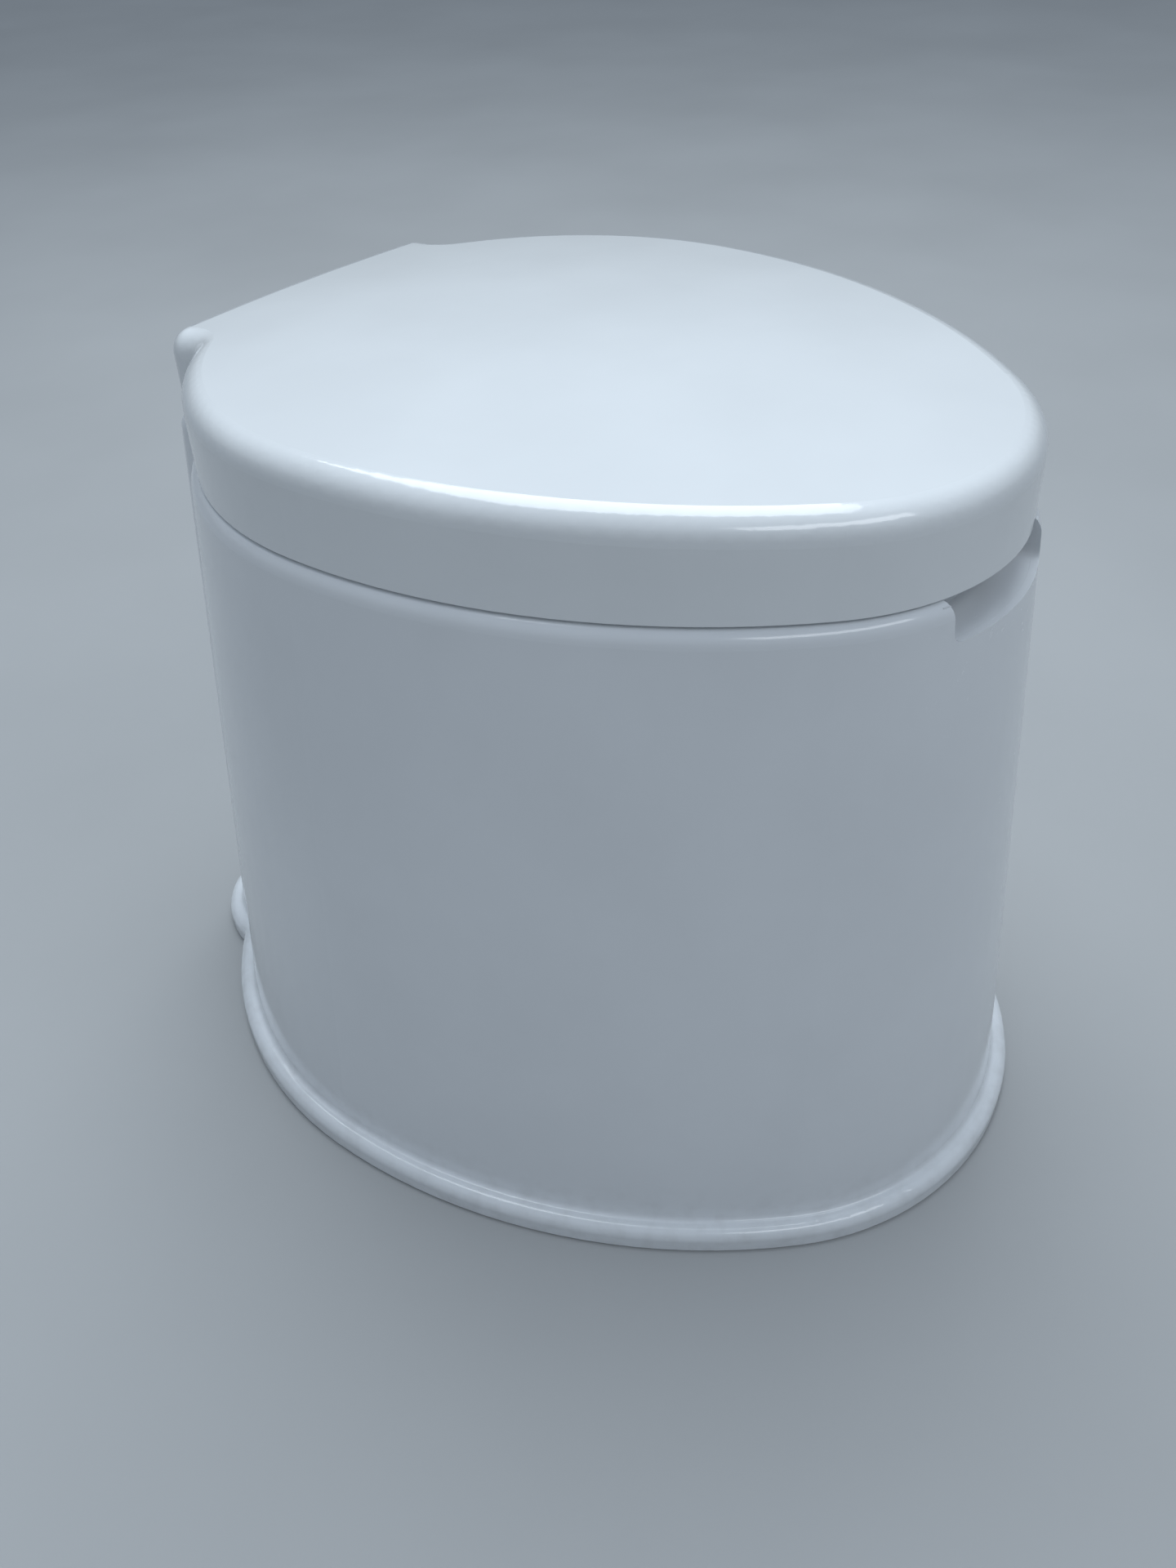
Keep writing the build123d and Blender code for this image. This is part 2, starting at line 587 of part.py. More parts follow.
for name, place in lid_bumper_places.items():
    with BuildPart() as bumper:
        with BuildSketch(Plane.XY.offset(SEAT_TOP_Z + BUMPER_GAP)):
            with Locations(place):
                Circle(BUMPER_RADIUS)
        extrude(amount=LID_BOSS_LOW_Z - SEAT_TOP_Z - BUMPER_GAP)
        with BuildSketch(Plane.XY.offset(LID_BOSS_LOW_Z)):
            with Locations(place):
                Circle(BUMPER_STEM_RADIUS)
        extrude(amount=BUMPER_STEM - BUMPER_FIT)
    finish(bumper.part, name)

# ---------------------------------------------------------------- hinges
BASE_X = (38.5, 62.5)
BASE_Y = (HINGE_Y - 42.0, HINGE_Y - 11.5)
BASE_THICK = 4.0
BASE_CORNER = 4.0
COLUMN_Y = (HINGE_Y - 24.5, HINGE_Y - 11.0)
HOOK_LOW = 5.0           # underside of the hook, below the hinge axis
PIN_X = (25.5, 72.4)
PIN_HEAD_RADIUS = 6.5
PIN_HEAD_THICK = 3.0
CLIP_X = (70.5, 72.0)
SCREW_HEAD_RADIUS = 4.0
SCREW_HEAD_THICK = 3.0
SCREW_TIP_Z = RIM_Z - 11.5
NUT_THICK = 4.0
NUT_RADIUS = 4.6
base_top_z = RIM_Z + BASE_THICK
bracket_arm = [
    (COLUMN_Y[0], base_top_z),
    (COLUMN_Y[1], base_top_z),
    (COLUMN_Y[1], HINGE_Z - HOOK_LOW - 2.0),
    (COLUMN_Y[1] + 2.0, HINGE_Z - HOOK_LOW),
    (HINGE_Y, HINGE_Z - HOOK_LOW),
    (HINGE_Y, HINGE_Z + KNUCKLE_RADIUS),
    (COLUMN_Y[0] + 6.0, HINGE_Z + KNUCKLE_RADIUS),
    (COLUMN_Y[0], HINGE_Z + 1.0),
]


def pin_stretch(x_range, outer, inner=0.0):
    """Round bar or ring on the hinge axis between two x values."""
    low, high = x_range
    with BuildPart(mode=Mode.PRIVATE) as bar:
        with BuildSketch(Plane.YZ.offset(low)):
            with Locations((HINGE_Y, HINGE_Z)):
                Circle(outer)
                if inner:
                    Circle(inner, mode=Mode.SUBTRACT)
        extrude(amount=high - low)
    return bar.part


for name, side in SIDES.items():
    base_low, base_high = mirrored_range(BASE_X, side)
    with BuildPart() as bracket:
        with BuildSketch(Plane.XY.offset(RIM_Z)):
            with Locations(((base_low + base_high) / 2, sum(BASE_Y) / 2)):
                RectangleRounded(base_high - base_low, BASE_Y[1] - BASE_Y[0], BASE_CORNER)
            with Locations(*[(side * x, SCREW_Y) for x in SCREW_X]):
                Circle(SCREW_HOLE_RADIUS, mode=Mode.SUBTRACT)
        extrude(amount=BASE_THICK)
        add(knuckle(mirrored_range(BRACKET_LUG_X, side), bracket_arm))
    finish(bracket.part, f"hinge_bracket_{name}")

    head = (PIN_X[0] - PIN_HEAD_THICK, PIN_X[0])
    with BuildPart() as hinge_pin:
        add(pin_stretch(mirrored_range(PIN_X, side), PIN_RADIUS))
        add(pin_stretch(mirrored_range(head, side), PIN_HEAD_RADIUS))
    finish(hinge_pin.part, f"hinge_pin_{name}")

with BuildPart() as pin_clips:
    for side in SIDES.values():
        add(pin_stretch(mirrored_range(CLIP_X, side), KNUCKLE_RADIUS, PIN_RADIUS + PIN_CLEARANCE))
finish(pin_clips.part, "pin_clips")

with BuildPart() as hinge_screws:
    with BuildSketch(Plane.XY.offset(SCREW_TIP_Z)):
        with Locations(*screw_spots):
            Circle(SCREW_RADIUS)
    extrude(amount=base_top_z - SCREW_TIP_Z)
    with BuildSketch(Plane.XY.offset(base_top_z)):
        with Locations(*screw_spots):
            Circle(SCREW_HEAD_RADIUS)
    extrude(amount=SCREW_HEAD_THICK)
finish(hinge_screws.part, "hinge_screws")

with BuildPart() as hinge_nuts:
    with BuildSketch(Plane.XY.offset(DECK_LOW_Z - NUT_THICK)):
        with Locations(*screw_spots):
            RegularPolygon(NUT_RADIUS, 6)
            Circle(SCREW_RADIUS + PIN_CLEARANCE, mode=Mode.SUBTRACT)
    extrude(amount=NUT_THICK)
finish(hinge_nuts.part, "hinge_nuts")
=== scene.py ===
"""Looks of the portable camp toilet: materials, small turned and moulded pieces, floor, light, camera.

Everything is in metres in the CAD frame: +Z up, -Y the front with the finger notch, +Y the hinge.
"""

import json
from math import atan2, cos, pi, radians, sin, sqrt

import bpy
from mathutils import Matrix, Vector


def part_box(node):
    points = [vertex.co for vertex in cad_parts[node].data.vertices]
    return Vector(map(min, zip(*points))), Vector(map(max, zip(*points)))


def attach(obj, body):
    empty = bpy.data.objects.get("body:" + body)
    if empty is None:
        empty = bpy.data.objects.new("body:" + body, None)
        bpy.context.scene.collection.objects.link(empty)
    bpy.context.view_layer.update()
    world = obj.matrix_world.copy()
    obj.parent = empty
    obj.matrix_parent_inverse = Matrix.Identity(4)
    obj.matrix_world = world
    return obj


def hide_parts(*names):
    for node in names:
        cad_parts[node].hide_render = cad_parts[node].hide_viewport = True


MM = 0.001
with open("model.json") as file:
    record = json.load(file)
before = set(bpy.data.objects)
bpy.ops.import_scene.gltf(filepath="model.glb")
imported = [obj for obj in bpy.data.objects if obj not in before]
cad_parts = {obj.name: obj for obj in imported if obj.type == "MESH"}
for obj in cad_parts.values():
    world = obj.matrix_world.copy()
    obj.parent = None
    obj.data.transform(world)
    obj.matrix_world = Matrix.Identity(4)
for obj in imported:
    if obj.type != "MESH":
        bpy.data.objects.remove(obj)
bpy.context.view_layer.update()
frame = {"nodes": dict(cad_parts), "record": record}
record = frame["record"]
nodes = frame["nodes"]
slot_of = {part["node"]: part["material_slot"] for part in record["subparts"]}

# ---------------------------------------------------------------- camera
CAMERA_PLACE = Vector((-0.40773, -0.31026, 0.53519))
CAMERA_AIM = Vector((-0.05372, -0.02765, 0.170))
CAMERA_ROLL = -2.10      # degrees, about the line of sight
CAMERA_LENS = 29.83      # millimetres on a 36 mm frame
CAMERA_FRAME = 36.0


def add_camera():
    data = bpy.data.cameras.new("camera")
    data.lens = CAMERA_LENS
    data.sensor_width = CAMERA_FRAME
    data.clip_start = 0.01
    camera = bpy.data.objects.new("camera", data)
    bpy.context.scene.collection.objects.link(camera)
    look = (CAMERA_AIM - CAMERA_PLACE).to_track_quat("-Z", "Y").to_matrix().to_4x4()
    turn = Matrix.Rotation(radians(CAMERA_ROLL), 4, "Z")
    camera.matrix_world = Matrix.Translation(CAMERA_PLACE) @ look @ turn
    bpy.context.scene.camera = camera


# ---------------------------------------------------------------- node helpers
class Shader:
    """A material's node tree, with short calls for the nodes that these materials use."""

    def __init__(self, name):
        self.material = bpy.data.materials.new(name)
        self.material.use_nodes = True
        self.tree = self.material.node_tree
        self.surface = self.tree.nodes["Principled BSDF"]
        self.where = self.add("ShaderNodeTexCoord").outputs["Object"]

    def add(self, kind, **settings):
        node = self.tree.nodes.new(kind)
        for key, value in settings.items():
            setattr(node, key, value)
        return node

    def link(self, source, target):
        self.tree.links.new(source, target)

    def feed(self, node, socket, value):
        """A socket's value: either another node's output or a plain number or colour."""
        if hasattr(value, "is_linked"):
            self.link(value, node.inputs[socket])
        else:
            node.inputs[socket].default_value = value

    def noise(self, scale, detail=2.0, stretch=(1, 1, 1), rough=0.5):
        mapping = self.add("ShaderNodeMapping")
        self.link(self.where, mapping.inputs["Vector"])
        mapping.inputs["Scale"].default_value = stretch
        node = self.add("ShaderNodeTexNoise")
        self.link(mapping.outputs["Vector"], node.inputs["Vector"])
        node.inputs["Scale"].default_value = scale
        node.inputs["Detail"].default_value = detail
        node.inputs["Roughness"].default_value = rough
        return node.outputs["Fac"]

    def span(self, value, low, high, to_low, to_high):
        node = self.add("ShaderNodeMapRange")
        for socket, number in zip(range(1, 5), (low, high, to_low, to_high)):
            node.inputs[socket].default_value = number
        self.link(value, node.inputs[0])
        return node.outputs[0]

    def maths(self, operation, first, second):
        node = self.add("ShaderNodeMath", operation=operation)
        self.feed(node, 0, first)
        self.feed(node, 1, second)
        return node.outputs[0]

    def mix(self, amount, first, second):
        node = self.add("ShaderNodeMix", data_type="RGBA")
        self.feed(node, 0, amount)
        self.feed(node, 6, first)
        self.feed(node, 7, second)
        return node.outputs[2]

    def height(self):
        parts = self.add("ShaderNodeSeparateXYZ")
        self.link(self.where, parts.inputs[0])
        return parts.outputs[2]

    def edges(self):
        """1 on sharp outer edges, 0 on flats."""
        geometry = self.add("ShaderNodeNewGeometry")
        return self.span(geometry.outputs["Pointiness"], 0.51, 0.58, 0.0, 1.0)

    def bump(self, height, strength, distance, below=None):
        node = self.add("ShaderNodeBump")
        self.link(height, node.inputs["Height"])
        node.inputs["Strength"].default_value = strength
        node.inputs["Distance"].default_value = distance
        if below is not None:
            self.link(below, node.inputs["Normal"])
        return node.outputs["Normal"]

    def finish(self, colour, roughness, normal, **fixed):
        self.link(colour, self.surface.inputs["Base Color"])
        self.link(roughness, self.surface.inputs["Roughness"])
        self.link(normal, self.surface.inputs["Normal"])
        for socket, value in fixed.items():
            self.surface.inputs[socket.replace("_", " ")].default_value = value
        return self.material


def shade(colour, factor):
    return tuple(channel * factor for channel in colour[:3]) + (1.0,)


# ---------------------------------------------------------------- materials
# noise scales are per metre, heights of the relief and of the dust in metres
CLOUD_SCALE = 14.0
SCUFF_SCALE = 180.0
SCUFF_HEIGHT = 0.00003
PEEL_SCALE = 95.0
PEEL_HEIGHT = 0.0004
GRAIN_SCALE = 2600.0
GRAIN_HEIGHT = 0.00005
DUST_HEIGHT = 0.035
DUST_COLOUR = (0.42, 0.41, 0.39, 1.0)
colour_of = {entry["slot"]: entry["base_color"] for entry in record["materials"]}


def plastic(slot, roughness, coat, peel, grain, dust):
    """Moulded plastic: orange peel, fine grain, cloudy gloss, faint scuffs, rubbed edges, floor dust."""
    colour = colour_of[slot]
    s = Shader(slot.replace("_", " "))
    cloud = s.noise(CLOUD_SCALE, 3.0)
    scuffs = s.noise(SCUFF_SCALE, 4.0, (1.0, 7.0, 1.0), 0.7)
    marks = s.span(scuffs, 0.62, 0.74, 0.0, 1.0)
    worn = s.edges()
    tone = s.mix(s.span(cloud, 0.35, 0.65, 0.0, 1.0), shade(colour, 0.975), shade(colour, 1.01))
    tone = s.mix(s.maths("MULTIPLY", worn, 0.25), tone, shade(colour, 1.06))
    if dust:
        low = s.span(s.height(), 0.0, DUST_HEIGHT, 1.0, 0.0)
        speckle = s.span(s.noise(130.0, 5.0), 0.45, 0.75, 0.0, 1.0)
        grime = s.maths("MULTIPLY", s.maths("MULTIPLY", low, speckle), dust)
        tone = s.mix(grime, tone, DUST_COLOUR)
    gloss = s.span(cloud, 0.3, 0.7, roughness * 0.85, roughness * 1.2)
    gloss = s.maths("ADD", gloss, s.maths("MULTIPLY", marks, 0.10))
    gloss = s.maths("ADD", gloss, s.maths("MULTIPLY", worn, 0.06))
    skin = s.bump(s.noise(PEEL_SCALE, 2.0), peel, PEEL_HEIGHT)
    skin = s.bump(s.noise(GRAIN_SCALE, 2.0), grain, GRAIN_HEIGHT, skin)
    skin = s.bump(marks, 0.05, SCUFF_HEIGHT, skin)
    return s.finish(tone, gloss, skin, Coat_Weight=coat, Coat_Roughness=0.06, IOR=1.5)


def rubber(slot):
    """Moulded rubber: matt, finely grained, lighter along its edges."""
    colour = colour_of[slot]
    s = Shader(slot.replace("_", " "))
    grain = s.noise(1500.0, 3.0)
    cloud = s.noise(60.0, 4.0)
    tone = s.mix(s.span(cloud, 0.35, 0.65, 0.0, 1.0), shade(colour, 0.8), shade(colour, 1.25))
    tone = s.mix(s.maths("MULTIPLY", s.edges(), 0.5), tone, shade(colour, 1.7))
    gloss = s.span(cloud, 0.3, 0.7, 0.62, 0.82)
    skin = s.bump(grain, 0.35, 0.00012)
    return s.finish(tone, gloss, skin, IOR=1.45)


def plated_steel(colour):
    """Plated steel: brushed, a little patchy, brighter along its edges."""
    s = Shader("plated steel")
    brushed = s.noise(900.0, 3.0, (0.08, 1.0, 1.0))
    patches = s.noise(90.0, 4.0)
    tone = s.mix(s.span(patches, 0.35, 0.65, 0.0, 1.0), shade(colour, 0.85), shade(colour, 1.1))
    tone = s.mix(s.maths("MULTIPLY", s.edges(), 0.6), tone, shade(colour, 1.3))
    gloss = s.span(brushed, 0.3, 0.7, 0.22, 0.42)
    skin = s.bump(brushed, 0.12, 0.00004)
    return s.finish(tone, gloss, skin, Metallic=1.0)


# roughness, clear coat, orange peel, fine grain, dust near the floor
PLASTICS = {
    "shell_plastic": (0.17, 0.5, 0.06, 0.05, 0.25),
    "lid_plastic": (0.13, 0.6, 0.05, 0.04, 0.0),
    "seat_plastic": (0.22, 0.4, 0.05, 0.05, 0.0),
    "bucket_plastic": (0.30, 0.2, 0.06, 0.12, 0.0),
    "grey_plastic": (0.48, 0.0, 0.05, 0.35, 0.0),
    "hinge_plastic": (0.42, 0.0, 0.05, 0.25, 0.0),
    "pin_plastic": (0.36, 0.1, 0.04, 0.15, 0.0),
}
RUBBERS = ("pad_rubber", "bumper_rubber", "seal_rubber")
materials = {slot: plastic(slot, *finish) for slot, finish in PLASTICS.items()}
materials["steel"] = plated_steel(colour_of["steel"])
materials.update({slot: rubber(slot) for slot in RUBBERS})


def dress_cad_nodes():
    for name, node in nodes.items():
        node.data.materials.clear()
        node.data.materials.append(materials[slot_of[name]])


# ---------------------------------------------------------------- mesh helpers
CREASE_ANGLE = 40.0      # degrees: edges sharper than this are drawn crisp


def mesh_piece(name, points, faces, material_slot, body, replaced=()):
    """A piece made of points and faces, riding on a CAD body and standing for CAD nodes."""
    mesh = bpy.data.meshes.new(name)
    mesh.from_pydata([tuple(p) for p in points], [], faces)
    mesh.validate()
    for polygon in mesh.polygons:
        polygon.use_smooth = True
    mesh.set_sharp_from_angle(angle=radians(CREASE_ANGLE))
    mesh.materials.append(materials[material_slot])
    piece = bpy.data.objects.new(name, mesh)
    bpy.context.scene.collection.objects.link(piece)
    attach(piece, body)
    if replaced:
        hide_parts(*replaced)
    return piece


def ring_faces(rings, around, start=0):
    """Quads between successive closed rings of points that all have the same count."""
    faces = []
    for ring in range(rings - 1):
        for step in range(around):
            low = start + ring * around
            turn = (step + 1) % around
            faces.append((low + step, low + turn, low + around + turn, low + around + step))
    return faces


def closed_faces(rings, around):
    """Faces of a form whose points are one end, its rings in order, and the other end."""
    faces = ring_faces(rings, around, 1)
    last = rings * around + 1
    for step in range(around):
        turn = (step + 1) % around
        faces.append((0, 1 + turn, 1 + step))
        faces.append((last, last - around + step, last - around + turn))
    return faces


def turned(profile, centre, axis, around):
    """Points and faces of a profile of (radius, distance along axis) turned about an axis.

    The profile runs from one end on the axis to the other, so the form is closed."""
    frame_turn = Vector((0, 0, 1)).rotation_difference(Vector(axis)).to_matrix()
    inner = profile[1:-1]
    points = [Vector(centre) + frame_turn @ Vector((0, 0, profile[0][1]))]
    for radius, along in inner:
        for step in range(around):
            angle = 2 * pi * step / around
            spoke = Vector((radius * cos(angle), radius * sin(angle), along))
            points.append(Vector(centre) + frame_turn @ spoke)
    points.append(Vector(centre) + frame_turn @ Vector((0, 0, profile[-1][1])))
    return points, closed_faces(len(inner), around)


def rounded(corner_x, corner_y, radius, from_angle, to_angle, steps=6):
    """Points of a rounded profile corner about a centre, angles in degrees."""
    sweep = to_angle - from_angle
    return [
        (corner_x + radius * cos(radians(from_angle + sweep * k / steps)),
         corner_y + radius * sin(radians(from_angle + sweep * k / steps)))
        for k in range(steps + 1)
    ]


def middle(node):
    low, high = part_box(node)
    return (Vector(low) + Vector(high)) / 2


def extent(node):
    low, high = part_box(node)
    return Vector(high) - Vector(low)


# ---------------------------------------------------------------- rubber bumpers
BUMPER_EDGE = 0.8 * MM
BUMPER_DIMPLE = 0.5 * MM
DIMPLE_FLOOR = 0.45      # shares of the buffer's radius
DIMPLE_RIM = 0.6
STEM_RADIUS = 3.0 * MM
STEM_LENGTH = 4.95 * MM
STEM_STRAIGHT = 0.85     # share of the stem's length below its narrower tip
STEM_TIP = 0.8           # share of the stem's radius left at its tip
BUMPER_AROUND = 40


def bumper(node, body):
    """Round buffer with a softened rim and a dished contact face, under the stem that holds it."""
    low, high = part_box(node)
    size = extent(node)
    radius = size.x / 2
    tall = size.z - STEM_LENGTH
    centre = Vector(((low[0] + high[0]) / 2, (low[1] + high[1]) / 2, low[2]))
    profile = [(0, BUMPER_DIMPLE), (radius * DIMPLE_FLOOR, BUMPER_DIMPLE), (radius * DIMPLE_RIM, 0.0)]
    profile += rounded(radius - BUMPER_EDGE, BUMPER_EDGE, BUMPER_EDGE, -90, 0)
    profile += rounded(radius - BUMPER_EDGE, tall - BUMPER_EDGE, BUMPER_EDGE, 0, 90)
    profile += [(STEM_RADIUS, tall), (STEM_RADIUS, tall + STEM_LENGTH * STEM_STRAIGHT)]
    profile += [(STEM_RADIUS * STEM_TIP, tall + STEM_LENGTH), (0, tall + STEM_LENGTH)]
    points, faces = turned(profile, centre, (0, 0, 1), BUMPER_AROUND)
    mesh_piece(f"{node}_moulded", points, faces, "bumper_rubber", body, [node])


def bumpers():
    for node in nodes:
        if node.startswith("seat_bumper"):
            bumper(node, "seat_body")
        if node.startswith("lid_bumper"):
            bumper(node, "lid_body")


# ---------------------------------------------------------------- hinge pins
PIN_RADIUS = 4.0 * MM
PIN_HEAD_RADIUS = 6.5 * MM
PIN_HEAD_THICK = 3.0 * MM
PIN_HEAD_ROUND = 1.2 * MM
PIN_FACE = 0.35          # share of the head's radius at the first ring of its flat face
PIN_TIP = 1.0 * MM
PIN_AROUND = 56


def hinge_pin(node, side):
    """Headed pin: softened head, straight shaft, chamfered tip pointing away from the middle."""
    size = extent(node)
    centre = middle(node) - Vector((side * size.x / 2, 0, 0))
    length = size.x
    profile = [(0, 0), (PIN_HEAD_RADIUS * PIN_FACE, 0)]
    profile += rounded(PIN_HEAD_RADIUS - PIN_HEAD_ROUND, PIN_HEAD_ROUND, PIN_HEAD_ROUND, -90, 0)
    profile += [
        (PIN_HEAD_RADIUS, PIN_HEAD_THICK),
        (PIN_RADIUS, PIN_HEAD_THICK),
        (PIN_RADIUS, length - PIN_TIP),
        (PIN_RADIUS - PIN_TIP, length),
        (0, length),
    ]
    points, faces = turned(profile, centre, (side, 0, 0), PIN_AROUND)
    mesh_piece(f"{node}_turned", points, faces, "pin_plastic", "base", [node])


# ---------------------------------------------------------------- hinge screws
SCREW_HEAD_RADIUS = 4.0 * MM
SCREW_HEAD_TALL = 3.0 * MM
SCREW_HEAD_EDGE = 1.0 * MM
SCREW_HEAD_ROUND = 2.0 * MM
SCREW_ROUND_FROM = 15    # degrees up from level, where the head's rounding starts
SCREW_CROWN_RINGS = 10
SCREW_SHANK_RADIUS = 2.5 * MM
SCREW_TIP = 0.6          # share of the shank's radius at its tip
SCREW_THREAD_START = 0.3 * MM
SCREW_THREAD_PITCH = 0.8 * MM
SCREW_THREAD_DEPTH = 0.35 * MM
CROSS_REACH = 2.3 * MM
CROSS_WIDTH = 0.45 * MM
CROSS_DEPTH = 1.3 * MM
CROSS_SLOPE = 0.25 * MM
CROSS_FADE = 4           # a higher power keeps the arms deep for longer
CROSS_ABOVE = 1.5 * MM   # the recess only reaches rings this far above the head's underside
SCREW_AROUND = 72


def cross_depth(x, y):
    """Depth of the cross recess at a point of the screw's head."""
    reach = max(abs(x), abs(y))
    width = min(abs(x), abs(y))
    along = max(0.0, 1.0 - (reach / CROSS_REACH) ** CROSS_FADE)
    across = max(0.0, min(1.0, (CROSS_WIDTH + CROSS_SLOPE - width) / CROSS_SLOPE))
    return CROSS_DEPTH * along * across


def screw(foot, tall):
    """Points and faces of one pan-head screw standing on its tip at `foot`, with a turned thread."""
    shank = tall - SCREW_HEAD_TALL
    crown = SCREW_HEAD_RADIUS - SCREW_HEAD_ROUND
    rings = [(SCREW_SHANK_RADIUS * SCREW_TIP, 0.0)]
    for turn in range(int(shank / SCREW_THREAD_PITCH)):
        start = turn * SCREW_THREAD_PITCH + SCREW_THREAD_START
        rings.append((SCREW_SHANK_RADIUS - SCREW_THREAD_DEPTH, start))
        rings.append((SCREW_SHANK_RADIUS, start + SCREW_THREAD_PITCH / 2))
    rings.append((SCREW_SHANK_RADIUS, shank))
    rings += [(SCREW_HEAD_RADIUS, shank), (SCREW_HEAD_RADIUS, shank + SCREW_HEAD_EDGE)]
    rings += rounded(crown, shank + SCREW_HEAD_EDGE, SCREW_HEAD_ROUND, SCREW_ROUND_FROM, 90)
    rings += [(crown * (1 - k / SCREW_CROWN_RINGS), tall) for k in range(1, SCREW_CROWN_RINGS)]
    points = [Vector((foot.x, foot.y, foot.z))]
    for radius, height in rings:
        for step in range(SCREW_AROUND):
            angle = 2 * pi * step / SCREW_AROUND
            x = radius * cos(angle)
            y = radius * sin(angle)
            drop = cross_depth(x, y) if height > shank + CROSS_ABOVE else 0.0
            points.append(Vector((foot.x + x, foot.y + y, foot.z + height - drop)))
    points.append(Vector((foot.x, foot.y, foot.z + tall - CROSS_DEPTH)))
    return points, closed_faces(len(rings), SCREW_AROUND)


def hinge_screws():
    """Four screws as one piece, two through each bracket."""
    low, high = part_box("hinge_screws")
    outer = high[0] - SCREW_HEAD_RADIUS
    inner = middle("hinge_bracket_right").x * 2 - outer
    y = (low[1] + high[1]) / 2
    points = []
    faces = []
    for x in (-outer, -inner, inner, outer):
        new_points, new_faces = screw(Vector((x, y, low[2])), high[2] - low[2])
        faces += [tuple(len(points) + corner for corner in face) for face in new_faces]
        points += new_points
    mesh_piece("hinge_screws_turned", points, faces, "steel", "base", ["hinge_screws"])


# ---------------------------------------------------------------- bail grip
GRIP_RIDGES = 14
GRIP_RIDGE_DEPTH = 0.7 * MM
GRIP_END_ROUND = 1.2 * MM
GRIP_AROUND = 40
GRIP_STATIONS = 140


def bail_grip():
    """Sleeve on the bail: follows the bail's arc, with shallow ridges round it and softened ends.

    The half angle takes the CAD sleeve's widest point to be on the bend's own radius. It is
    further out, so this sleeve comes out about 1 mm longer at each end than the CAD one."""
    low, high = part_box("bail_grip")
    bail_low, bail_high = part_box("bail_handle")
    wire = (bail_high[2] - bail_low[2]) / 2
    radius = (high[2] - low[2]) / 2
    height = (high[2] + low[2]) / 2
    bend = bail_high[0] - wire
    pivot_y = bail_low[1] + wire + bend
    half = atan2(high[0], sqrt(bend**2 - high[0] ** 2))
    points = []
    length = 2 * half * bend
    for station in range(GRIP_STATIONS + 1):
        share = station / GRIP_STATIONS
        angle = -pi / 2 - half + 2 * half * share
        centre = Vector((bend * cos(angle), pivot_y + bend * sin(angle), height))
        outward = Vector((cos(angle), sin(angle), 0))
        end = min(share, 1 - share) * length
        ridge = 0.5 - 0.5 * cos(2 * pi * GRIP_RIDGES * share)
        size = radius - GRIP_RIDGE_DEPTH * ridge
        if end < GRIP_END_ROUND:
            size -= GRIP_END_ROUND - sqrt(GRIP_END_ROUND**2 - (GRIP_END_ROUND - end) ** 2)
        for step in range(GRIP_AROUND):
            turn = 2 * pi * step / GRIP_AROUND
            points.append(centre + outward * size * cos(turn) + Vector((0, 0, size * sin(turn))))
    faces = ring_faces(GRIP_STATIONS + 1, GRIP_AROUND)
    last = GRIP_STATIONS * GRIP_AROUND
    faces.append(tuple(range(GRIP_AROUND)))
    faces.append(tuple(reversed(range(last, last + GRIP_AROUND))))
    mesh_piece("bail_grip_ridged", points, faces, "grey_plastic", "base", ["bail_grip"])


# ---------------------------------------------------------------- cover seal
SEAL_THICK = 2.3 * MM
SEAL_BAND = 0.9 * MM
SEAL_LIPS = 3
SEAL_AROUND = 160
# a lip's foot, the two edges of its crest and its end, as shares of the pitch between lips
LIP_FOOT = 0.15
LIP_CREST_LOW = 0.3
LIP_CREST_HIGH = 0.42
LIP_END = 0.6


def cover_seal():
    """Lip seal: a band round the cover's plug with three thin lips."""
    low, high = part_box("cover_seal")
    outer = (high[0] - low[0]) / 2
    inner = outer - SEAL_THICK
    tall = high[2] - low[2]
    centre = Vector((0, (low[1] + high[1]) / 2, low[2]))
    band = inner + SEAL_BAND
    profile = [(inner, 0.0), (band, 0.0)]
    pitch = tall / SEAL_LIPS
    for lip in range(SEAL_LIPS):
        base = pitch * (lip + LIP_FOOT)
        profile += [(band, base), (outer, base + pitch * LIP_CREST_LOW)]
        profile += [(outer, base + pitch * LIP_CREST_HIGH), (band, base + pitch * LIP_END)]
    profile += [(band, tall), (inner, tall)]
    points = []
    for radius, height in profile:
        for step in range(SEAL_AROUND):
            angle = 2 * pi * step / SEAL_AROUND
            points.append(centre + Vector((radius * cos(angle), radius * sin(angle), height)))
    faces = ring_faces(len(profile), SEAL_AROUND)
    last = (len(profile) - 1) * SEAL_AROUND
    # the band's inner wall joins the profile's last ring to its first
    for step in range(SEAL_AROUND):
        turn = (step + 1) % SEAL_AROUND
        faces.append((last + step, last + turn, turn, step))
    mesh_piece("cover_seal_lipped", points, faces, "seal_rubber", "base", ["cover_seal"])


# ---------------------------------------------------------------- floor and light
FLOOR_SIZE = 40.0
FLOOR_COLOUR = (0.44, 0.445, 0.445)
SKY_LOW = (0.10, 0.11, 0.12)
SKY_HIGH = (0.46, 0.54, 0.64)
SKY_LOW_AT = 0.20        # places on the colour ramp
SKY_HIGH_AT = 0.85
LIGHTS_AIM = (0, 0, 0.25)
OVERHEAD = {"place": (0.50, 0.50, 2.10), "size": (1.6, 1.6), "power": 28.0, "colour": (0.86, 0.94, 1.0)}
HIGH_FRONT = {"place": (-0.35, -1.35, 1.80), "size": (1.5, 0.4), "power": 6.0, "colour": (0.90, 0.95, 1.0)}


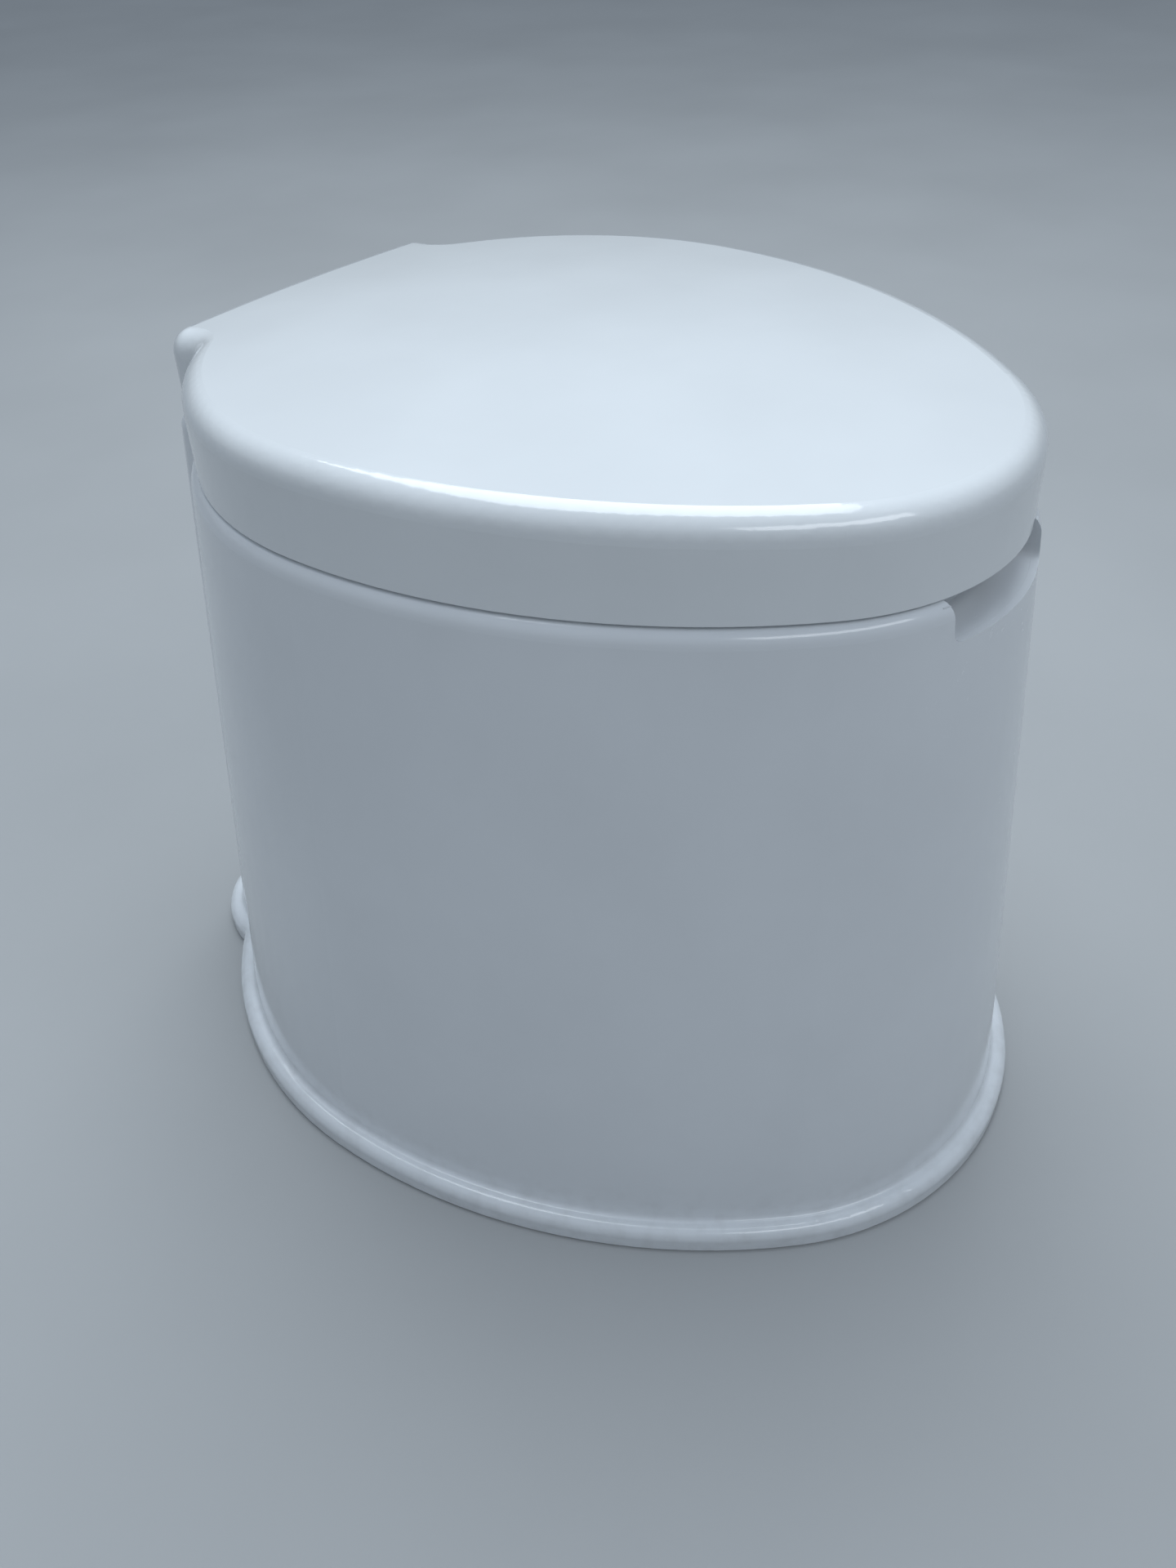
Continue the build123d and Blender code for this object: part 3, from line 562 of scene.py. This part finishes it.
def add_floor():
    mesh = bpy.data.meshes.new("floor")
    half = FLOOR_SIZE / 2
    corners = [(-half, -half, 0), (half, -half, 0), (half, half, 0), (-half, half, 0)]
    mesh.from_pydata(corners, [], [(0, 1, 2, 3)])
    s = Shader("floor")
    cloud = s.noise(3.0, 4.0)
    grain = s.noise(400.0)
    patches = s.span(cloud, 0.3, 0.7, 0.0, 1.0)
    tone = s.mix(patches, shade(FLOOR_COLOUR, 0.96), shade(FLOOR_COLOUR, 1.04))
    gloss = s.span(cloud, 0.3, 0.7, 0.7, 0.8)
    mesh.materials.append(s.finish(tone, gloss, s.bump(grain, 0.1, 0.0003)))
    floor = bpy.data.objects.new("floor", mesh)
    bpy.context.scene.collection.objects.link(floor)


def area_light(name, place, size, power, colour):
    data = bpy.data.lights.new(name, "AREA")
    data.shape = "RECTANGLE"
    data.size, data.size_y = size
    data.energy = power
    data.color = colour
    light = bpy.data.objects.new(name, data)
    light.location = place
    light.rotation_euler = (Vector(LIGHTS_AIM) - Vector(place)).to_track_quat("-Z", "Y").to_euler()
    bpy.context.scene.collection.objects.link(light)


def add_sky():
    """Soft surroundings: dim and cool at the horizon, brighter overhead."""
    world = bpy.data.worlds.new("studio")
    world.use_nodes = True
    tree = world.node_tree
    where = tree.nodes.new("ShaderNodeTexCoord")
    parts = tree.nodes.new("ShaderNodeSeparateXYZ")
    ramp = tree.nodes.new("ShaderNodeValToRGB")
    tree.links.new(where.outputs["Generated"], parts.inputs[0])
    tree.links.new(parts.outputs[2], ramp.inputs[0])
    tree.links.new(ramp.outputs["Color"], tree.nodes["Background"].inputs["Color"])
    low, high = ramp.color_ramp.elements
    low.position = SKY_LOW_AT
    low.color = (*SKY_LOW, 1.0)
    high.position = SKY_HIGH_AT
    high.color = (*SKY_HIGH, 1.0)
    bpy.context.scene.world = world


def add_lights():
    area_light("overhead", **OVERHEAD)
    area_light("high front", **HIGH_FRONT)
    bpy.context.scene.view_settings.view_transform = "Standard"


# ---------------------------------------------------------------- build
dress_cad_nodes()
bumpers()
hinge_pin("hinge_pin_left", -1)
hinge_pin("hinge_pin_right", 1)
hinge_screws()
bail_grip()
cover_seal()
add_floor()
add_sky()
add_lights()
add_camera()
